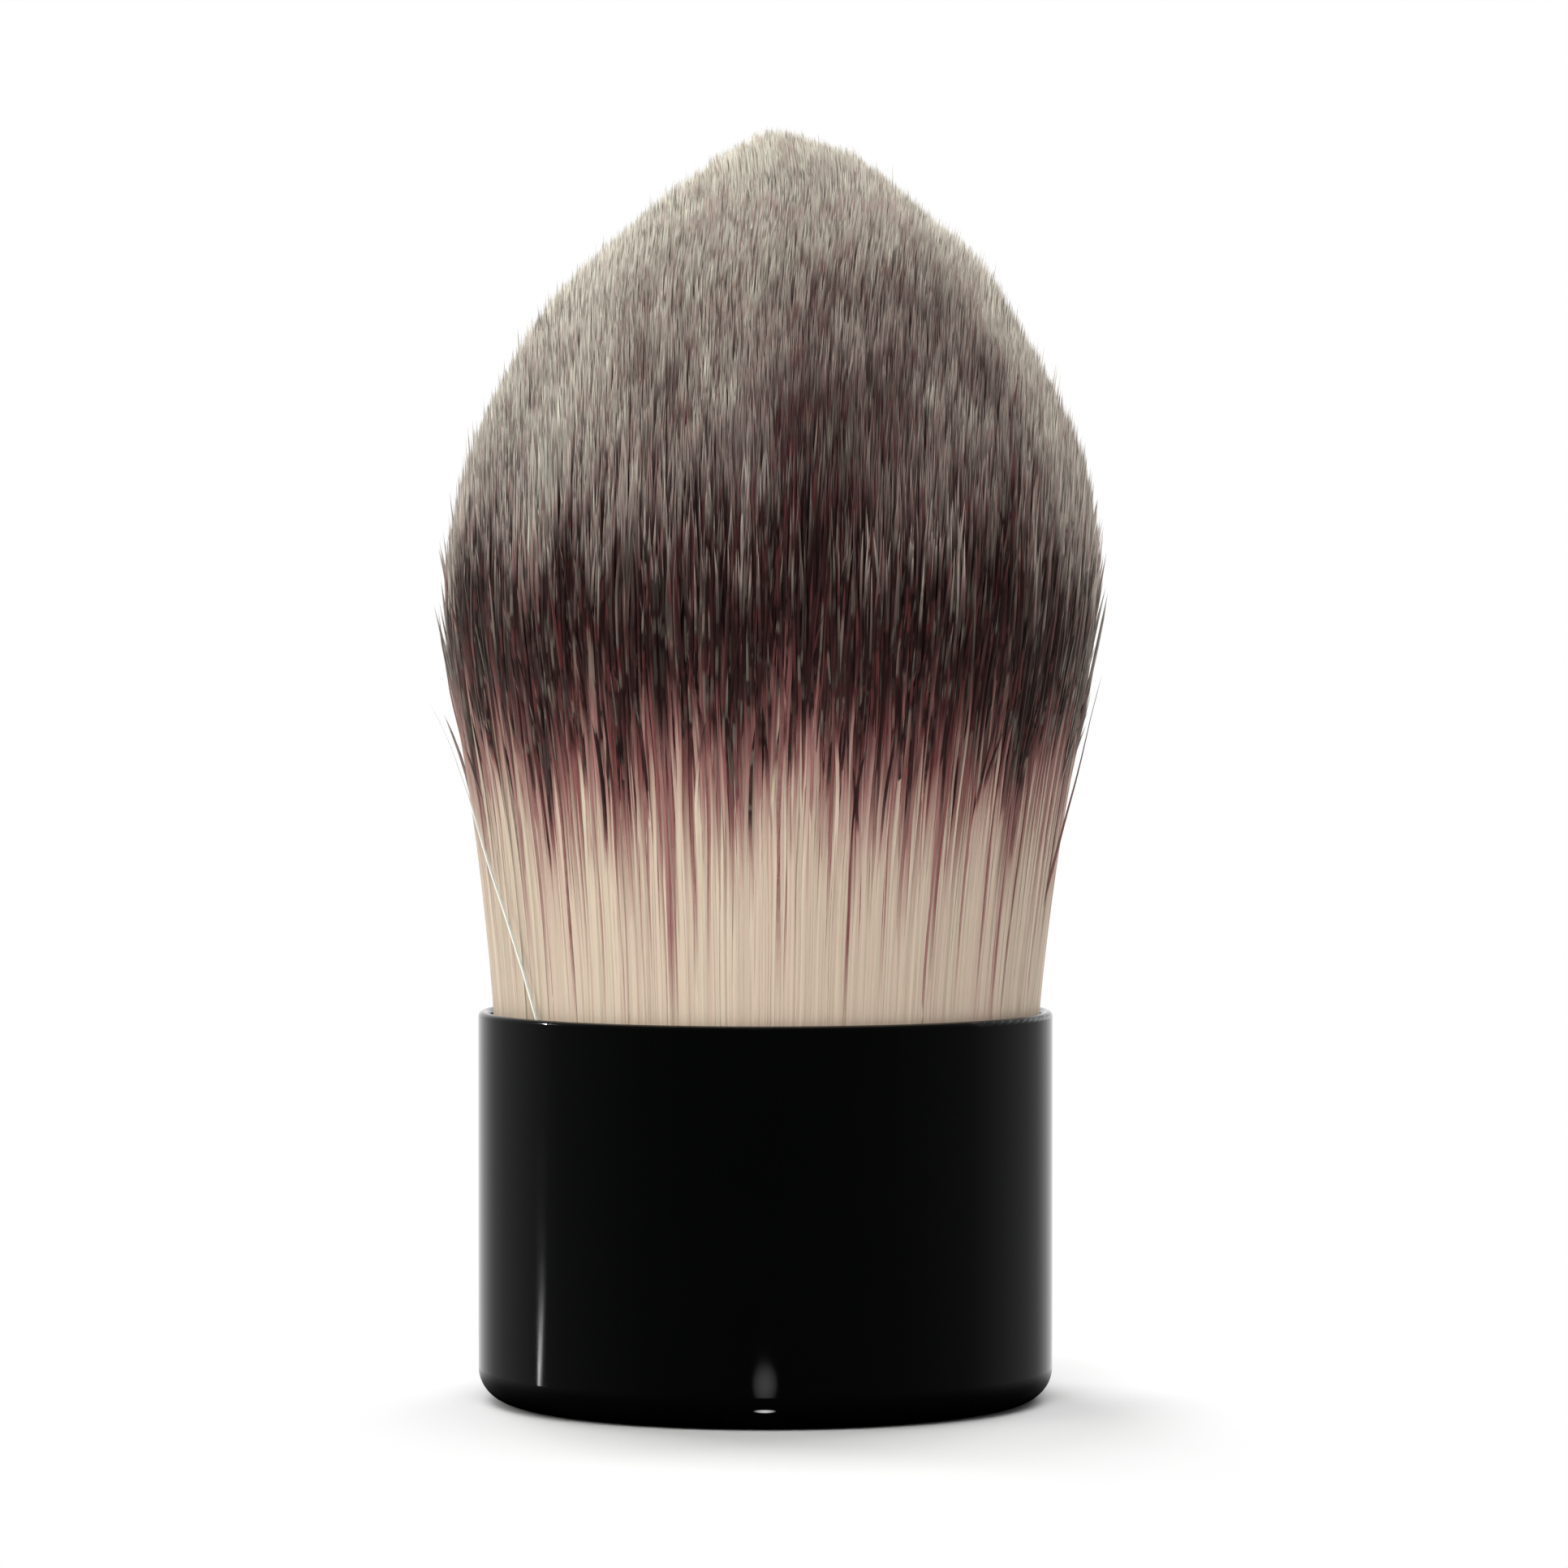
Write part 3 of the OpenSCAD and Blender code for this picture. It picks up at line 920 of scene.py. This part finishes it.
def lacquer_material():
    """High gloss black lacquer with a faint ripple."""
    n = Nodes(bpy.data.materials.new("lacquer"))
    colour = n.mix(n.noise(160, 3), (0.0004, 0.0007, 0.0005), (0.0008, 0.0011, 0.0009))
    n.join(colour, n.shader.inputs["Base Color"])
    n.join(n.spread(n.noise(900, 4), 0.05, 0.09), n.shader.inputs["Roughness"])
    n.shader.inputs["IOR"].default_value = 1.5
    n.bump(n.noise(260, 1), 0.05, 0.00002)
    return n.owner


def hidden_material(name, dark, light, rough, metal=0.0, stretch=None):
    """A plain finish with fine grain, for the pieces inside the handle."""
    n = Nodes(bpy.data.materials.new(name))
    grain = n.noise(GRAIN_SCALE, GRAIN_DETAIL, stretch)
    n.join(n.mix(grain, dark, light), n.shader.inputs["Base Color"])
    n.join(n.spread(grain, rough - GRAIN_ROUGH, rough + GRAIN_ROUGH), n.shader.inputs["Roughness"])
    n.shader.inputs["Metallic"].default_value = metal
    n.bump(grain, *GRAIN_BUMP)
    return n.owner


def glow_patch(n, place, y, half_x, half_y, strength):
    """A soft bright patch in front on the floor, which the round handle shows as an oval this wide."""
    fan = n.maths("MULTIPLY_ADD", place.outputs["Y"], -2 / (HANDLE_R * MM), -1.0)
    across = n.maths("DIVIDE", n.maths("DIVIDE", place.outputs["X"], half_x * MM), fan)
    deep = n.maths("DIVIDE", n.maths("SUBTRACT", place.outputs["Y"], y * MM), half_y * MM)
    square = n.maths("ADD", n.maths("MULTIPLY", across, across), n.maths("MULTIPLY", deep, deep))
    inside = n.maths("SUBTRACT", 1.0, square, clamp=True)
    ahead = n.maths("LESS_THAN", place.outputs["Y"], -HANDLE_R * MM)
    return n.maths("MULTIPLY", n.maths("MULTIPLY", inside, ahead), strength)


def floor_seen(n, position):
    """Pale floor that keeps the object's shadow near it, adds painted shadow by the foot, and is plain
    white farther off.
    """
    n.shader.inputs["Roughness"].default_value = 0.9
    n.shader.inputs["Specular IOR Level"].default_value = 0.1
    paper = n.mix(n.noise(6), (PAPER[0],) * 3, (PAPER[1],) * 3)
    # Painted shadow: the floor's tone is darker close to the foot
    outward = n.smooth_length(position, FOOT_FROM * MM, FOOT_REACH * MM)
    n.join(n.mix(outward, (FOOT_PAINTED_SHADOW,) * 3, paper), n.shader.inputs["Base Color"])
    shaped = n.add("ShaderNodeVectorMath", operation="MULTIPLY_ADD")
    n.join(position, shaped.inputs[0])
    shaped.inputs[1].default_value = (1 / (SHADOW_X * MM), 1 / (SHADOW_Y * MM), 0)
    shaped.inputs[2].default_value = (-SHADOW_ASIDE / SHADOW_X, 0, 0)
    white = n.add("ShaderNodeEmission")
    seen = n.add("ShaderNodeMixShader")
    n.join(n.smooth_length(shaped.outputs[0], SHADOW_INNER, 1.0), seen.inputs[0])
    n.join(n.shader.outputs[0], seen.inputs[1])
    n.join(white.outputs[0], seen.inputs[2])
    return seen.outputs[0]


def floor_mirrored(n, position):
    """What a glossy ray meets: the surroundings, dimmed close to the foot as painted shade, and two
    bright patches.
    """
    # Painted shade: the surroundings that gloss sees through the floor are dimmed close to the foot
    through = n.add("ShaderNodeBsdfTransparent")
    n.join(n.smooth_length(position, FOOT_FROM * MM, DIM_REACH * MM), through.inputs["Color"])
    place = n.add("ShaderNodeSeparateXYZ")
    n.join(position, place.inputs[0])
    glow = n.add("ShaderNodeEmission")
    patches = n.maths("ADD", *(glow_patch(n, place, *patch) for patch in GLOW_PATCHES))
    n.join(patches, glow.inputs["Strength"])
    mirrored = n.add("ShaderNodeAddShader")
    n.join(through.outputs[0], mirrored.inputs[0])
    n.join(glow.outputs[0], mirrored.inputs[1])
    return mirrored.outputs[0]


def floor_material():
    """The floor, which gloss sees through to the surroundings."""
    n = Nodes(bpy.data.materials.new("floor"))
    position = n.add("ShaderNodeNewGeometry").outputs["Position"]
    last = n.add("ShaderNodeMixShader")
    n.join(n.add("ShaderNodeLightPath").outputs["Is Glossy Ray"], last.inputs[0])
    n.join(floor_seen(n, position), last.inputs[1])
    n.join(floor_mirrored(n, position), last.inputs[2])
    n.join(last.outputs[0], n.tree.nodes["Material Output"].inputs["Surface"])
    return n.owner


def strip_lamp(n, direction):
    """A thin, low strip lamp far off to the left, which the handle shows as an upright line."""
    left = n.maths("MULTIPLY", direction.outputs["X"], -1.0)
    turn = n.maths("DIVIDE", direction.outputs["Y"], left)
    up = n.maths("SUBTRACT", n.maths("DIVIDE", direction.outputs["Z"], left), STRIP_LOW)
    aside = n.maths("MULTIPLY_ADD", up, STRIP_SLANT, n.maths("SUBTRACT", turn, STRIP_TURN))
    half = n.maths("MULTIPLY_ADD", up, STRIP_WIDEN, STRIP_HALF)
    inside = n.maths("DIVIDE", n.maths("ABSOLUTE", aside), half)
    inside = n.maths("SUBTRACT", 1.0, inside, clamp=True)
    fade = n.maths("SUBTRACT", 1.0, n.maths("DIVIDE", up, STRIP_TALL), clamp=True)
    start = n.maths("DIVIDE", up, STRIP_SOFT, clamp=True)
    shape = n.maths("MULTIPLY", n.maths("MULTIPLY", inside, start), n.maths("POWER", fade, STRIP_FALL))
    lit = n.maths("MULTIPLY", n.maths("GREATER_THAN", left, 0.0), STRIP_STRENGTH)
    return n.maths("MULTIPLY", shape, lit)


def world_light():
    """Even soft light, a white background, and what gloss reflects: dark in front, bright behind."""
    n = Nodes(bpy.data.worlds.new("studio"))
    bpy.context.scene.world = n.owner
    path = n.add("ShaderNodeLightPath")
    direction = n.add("ShaderNodeSeparateXYZ")
    n.join(n.add("ShaderNodeTexCoord").outputs["Generated"], direction.inputs[0])
    surround = n.levels(n.spread(direction.outputs["Y"], 0.5, 1.0), SURROUND)
    mirrored = n.mix(1.0, surround, strip_lamp(n, direction), "ADD")
    level = n.mix(path.outputs["Is Glossy Ray"], (WORLD_LEVEL,) * 3, mirrored)
    level = n.mix(path.outputs["Is Camera Ray"], level, WHITE)
    n.join(level, n.tree.nodes["Background"].inputs["Color"])


def area_light(name, place, size, watts, colour, seen_by):
    """A lamp that faces the brush, which the camera doesn't see."""
    data = bpy.data.lights.new(name, "AREA")
    data.shape = "RECTANGLE"
    data.size, data.size_y = size
    data.energy = watts
    data.color = colour
    ob = bpy.data.objects.new(name, data)
    ob.location = place
    ob.rotation_euler = (Vector(LAMP_AIM) - Vector(place)).to_track_quat("-Z", "Y").to_euler()
    ob.visible_camera = False
    ob.visible_diffuse = seen_by == "diffuse"
    ob.visible_glossy = seen_by == "glossy"
    bpy.context.scene.collection.objects.link(ob)


def photo_camera():
    """The photograph's view: from in front, above the rim's height, looking down by about a degree."""
    data = bpy.data.cameras.new("camera")
    data.sensor_width = SENSOR
    data.lens = SENSOR * CAMERA_FOCUS / PHOTO_SIZE
    ob = bpy.data.objects.new("camera", data)
    ob.location = (CAMERA_SIDE, -CAMERA_FAR, CAMERA_HIGH)
    ob.rotation_euler = (math.radians(90 - CAMERA_DOWN), 0, 0)
    bpy.context.scene.collection.objects.link(ob)
    bpy.context.scene.camera = ob


def floor_plane():
    """A wide flat floor under the brush."""
    reach = FLOOR_REACH
    corners = [(-reach, -reach, 0), (reach, -reach, 0), (reach, reach, 0), (-reach, reach, 0)]
    mesh = bpy.data.meshes.new("floor")
    mesh.from_pydata(corners, [], [(0, 1, 2, 3)])
    mesh.materials.append(floor_material())
    ob = bpy.data.objects.new("floor", mesh)
    bpy.context.scene.collection.objects.link(ob)
    return ob


photo_camera()
world_light()
for lamp in LAMPS:
    area_light(*lamp)

# Hidden finishes: dark and light colours, roughness, then metal and the grain's stretch
materials = {
    "filament": filament_material(),
    "loose hair with painted highlight": loose_material(),
    "lacquer": lacquer_material(),
    "steel": hidden_material("steel", (0.42, 0.43, 0.45), (0.60, 0.61, 0.63), 0.35, 1.0, (1, 1, 8)),
    "plastic": hidden_material("plastic", (0.74, 0.74, 0.72), (0.82, 0.82, 0.80), 0.5),
    "glue": hidden_material("glue", (0.55, 0.36, 0.12), (0.70, 0.50, 0.20), 0.2),
    "thread": hidden_material("thread", (0.62, 0.58, 0.48), (0.82, 0.79, 0.70), 0.8, 0.0, (1, 1, 6)),
}
CARRIED = {
    "handle_shell": "lacquer",
    "base_weight": "steel",
    "knot_cup": "plastic",
    "glue_bed": "glue",
    "binding_thread": "thread",
}
for node, finish in CARRIED.items():
    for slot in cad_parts[node].material_slots:
        slot.material = materials[finish]

inner_mass()
for group in GROUPS:
    filament_group(*group)
stray_hairs("bristle_strays", DARK_STRAYS, "filament", 21)
stray_hairs("bristle_stray_pale", PALE_STRAYS, "loose hair with painted highlight", 22)

floor = floor_plane()

bpy.context.scene.view_settings.view_transform = "Standard"
